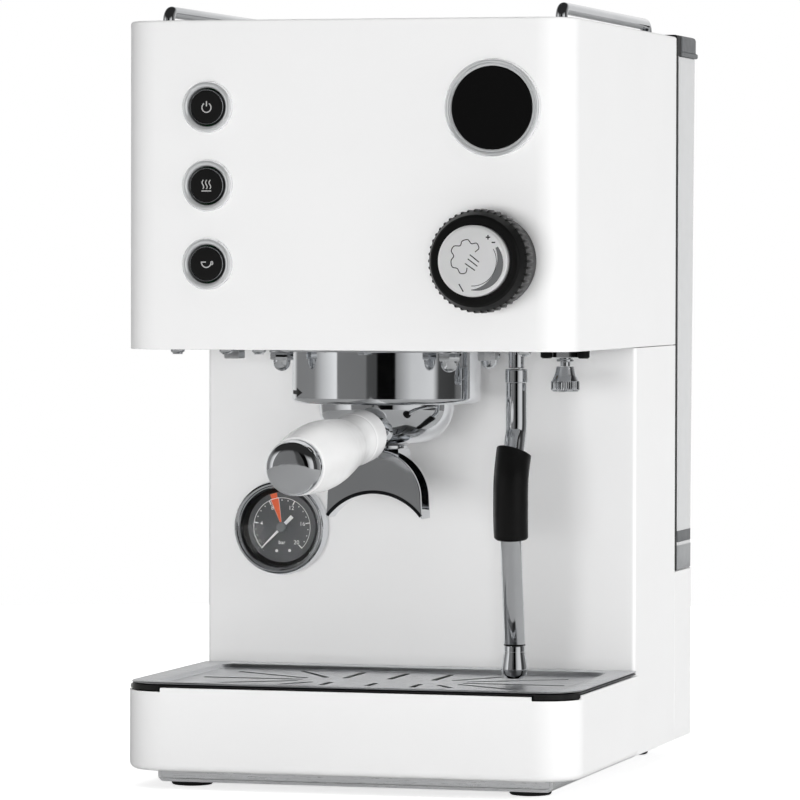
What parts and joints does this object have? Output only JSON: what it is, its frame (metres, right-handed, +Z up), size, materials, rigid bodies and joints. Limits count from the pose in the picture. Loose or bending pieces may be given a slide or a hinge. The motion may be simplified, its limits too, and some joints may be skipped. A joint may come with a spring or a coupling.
{
  "type": "espresso machine",
  "caption": "Home espresso machine with a single group, a filter holder with a straight handle, a steam wand, a pressure gauge, round controls, a drip tray and a rear water tank.",
  "frame": {"origin": "centre of the outer box, at the height of the surface that the feet stand on", "axes": "+X to the machine's right as seen from its front, +Y to its back, +Z up"},
  "size_m": [0.234, 0.3968, 0.3919],
  "materials": {
    "white_paint": "satin powder coat",
    "chrome": "polished",
    "brushed_steel": "satin",
    "black_plastic": "fine texture",
    "gloss_black_plastic": "gloss",
    "black_rubber": "matt",
    "silicone_rubber": "matt",
    "smoked_plastic": "translucent smoke grey",
    "grey_plastic": "satin",
    "white_plastic": "semi gloss",
    "black_glass": "gloss",
    "clear_glass": "clear",
    "brass": "machined",
    "circuit_board": "solder mask",
    "dial_print": "printed dial"
  },
  "bodies": {
    "housing": {"head_cover": "white_paint", "head_floor": "brushed_steel", "column_cover": "white_paint", "back_panel": "white_paint", "rear_housing": "white_paint", "base_cover": "white_paint", "plinth": "brushed_steel", "foot_1": "black_rubber", "foot_2": "black_rubber", "foot_3": "black_rubber", "foot_4": "black_rubber", "cup_plate": "brushed_steel", "cup_rail_left": "chrome", "cup_rail_right": "chrome", "power_button_bezel": "chrome", "steam_button_bezel": "chrome", "coffee_button_bezel": "chrome", "display_ring": "chrome", "display_glass": "black_glass", "control_board": "circuit_board", "steam_valve": "brass", "group_shroud": "chrome", "group_casting": "brass", "group_gasket": "silicone_rubber", "shower_screen": "brushed_steel", "boiler": "brushed_steel", "group_flange": "chrome", "wand_socket": "brass", "hot_water_fitting": "chrome", "hot_water_nozzle": "chrome", "gauge_case": "chrome", "gauge_dial": "dial_print", "gauge_lens": "clear_glass", "tank_backrest": "black_plastic", "pump": "black_plastic", "power_inlet": "black_plastic"},
    "power_button": {"power_button": "gloss_black_plastic"},
    "steam_button": {"steam_button": "gloss_black_plastic"},
    "coffee_button": {"coffee_button": "gloss_black_plastic"},
    "steam_knob": {"steam_knob_grip": "black_plastic", "steam_knob_cap": "chrome", "steam_valve_stem": "brass"},
    "filter_holder": {"filter_bowl": "chrome", "filter_basket": "brushed_steel", "handle_neck": "chrome", "handle_grip": "white_plastic", "handle_end_cap": "chrome", "spout_nut": "chrome", "spout": "chrome"},
    "wand_swivel": {"wand_bearing": "white_plastic"},
    "wand": {"wand_neck": "chrome", "wand_tube": "chrome", "wand_grip": "black_rubber", "wand_tip": "chrome"},
    "gauge_needle": {"gauge_needle": "white_plastic"},
    "drip_tray": {"drip_basin": "gloss_black_plastic"},
    "drip_cover": {"drip_cover": "brushed_steel"},
    "water_tank": {"water_tank": "smoked_plastic", "tank_lid_hinge": "black_plastic"},
    "tank_lid": {"tank_lid": "grey_plastic"}
  },
  "joints": [
    {"name": "power_button_press", "type": "slide", "parent": "housing", "child": "power_button", "axis": [0, 1, 0], "range_m": [0, 0.002], "stiffness_N_per_m": 400},
    {"name": "steam_button_press", "type": "slide", "parent": "housing", "child": "steam_button", "axis": [0, 1, 0], "range_m": [0, 0.002], "stiffness_N_per_m": 400},
    {"name": "coffee_button_press", "type": "slide", "parent": "housing", "child": "coffee_button", "axis": [0, 1, 0], "range_m": [0, 0.002], "stiffness_N_per_m": 400},
    {"name": "steam_knob_turn", "type": "hinge", "parent": "housing", "child": "steam_knob", "pos_m": [0.0757, -0.11963, 0.264], "axis": [0, -1, 0], "range_deg": [0, 270]},
    {"name": "filter_holder_turn", "type": "hinge", "parent": "housing", "child": "filter_holder", "pos_m": [0, -0.02563, 0.2], "axis": [0, 0, -1], "range_deg": [0, 50]},
    {"name": "wand_swivel_turn", "type": "hinge", "parent": "housing", "child": "wand_swivel", "pos_m": [0.068, -0.02563, 0.226], "axis": [0, 0, 1], "range_deg": [-45, 45]},
    {"name": "wand_tilt", "type": "hinge", "parent": "wand_swivel", "child": "wand", "pos_m": [0.068, -0.02563, 0.226], "axis": [-1, 0, 0], "range_deg": [-5, 30]},
    {"name": "needle_turn", "type": "hinge", "parent": "housing", "child": "gauge_needle", "pos_m": [-0.0735, 0.03562, 0.1245], "axis": [0, 1, 0], "range_deg": [0, 270], "stiffness_Nm_per_rad": 0.0005},
    {"name": "drip_tray_lift", "type": "slide", "parent": "housing", "child": "drip_tray", "axis": [0, 0, 1], "range_m": [0, 0.002]},
    {"name": "drip_cover_lift", "type": "slide", "parent": "drip_tray", "child": "drip_cover", "axis": [0, 0, 1], "range_m": [0, 0.002]},
    {"name": "tank_lift", "type": "slide", "parent": "housing", "child": "water_tank", "axis": [0, 0, 1], "range_m": [0, 0.12]},
    {"name": "tank_lid_open", "type": "hinge", "parent": "water_tank", "child": "tank_lid", "pos_m": [0, 0.14622, 0.3842], "axis": [1, 0, 0], "range_deg": [0, 95]}
  ]
}
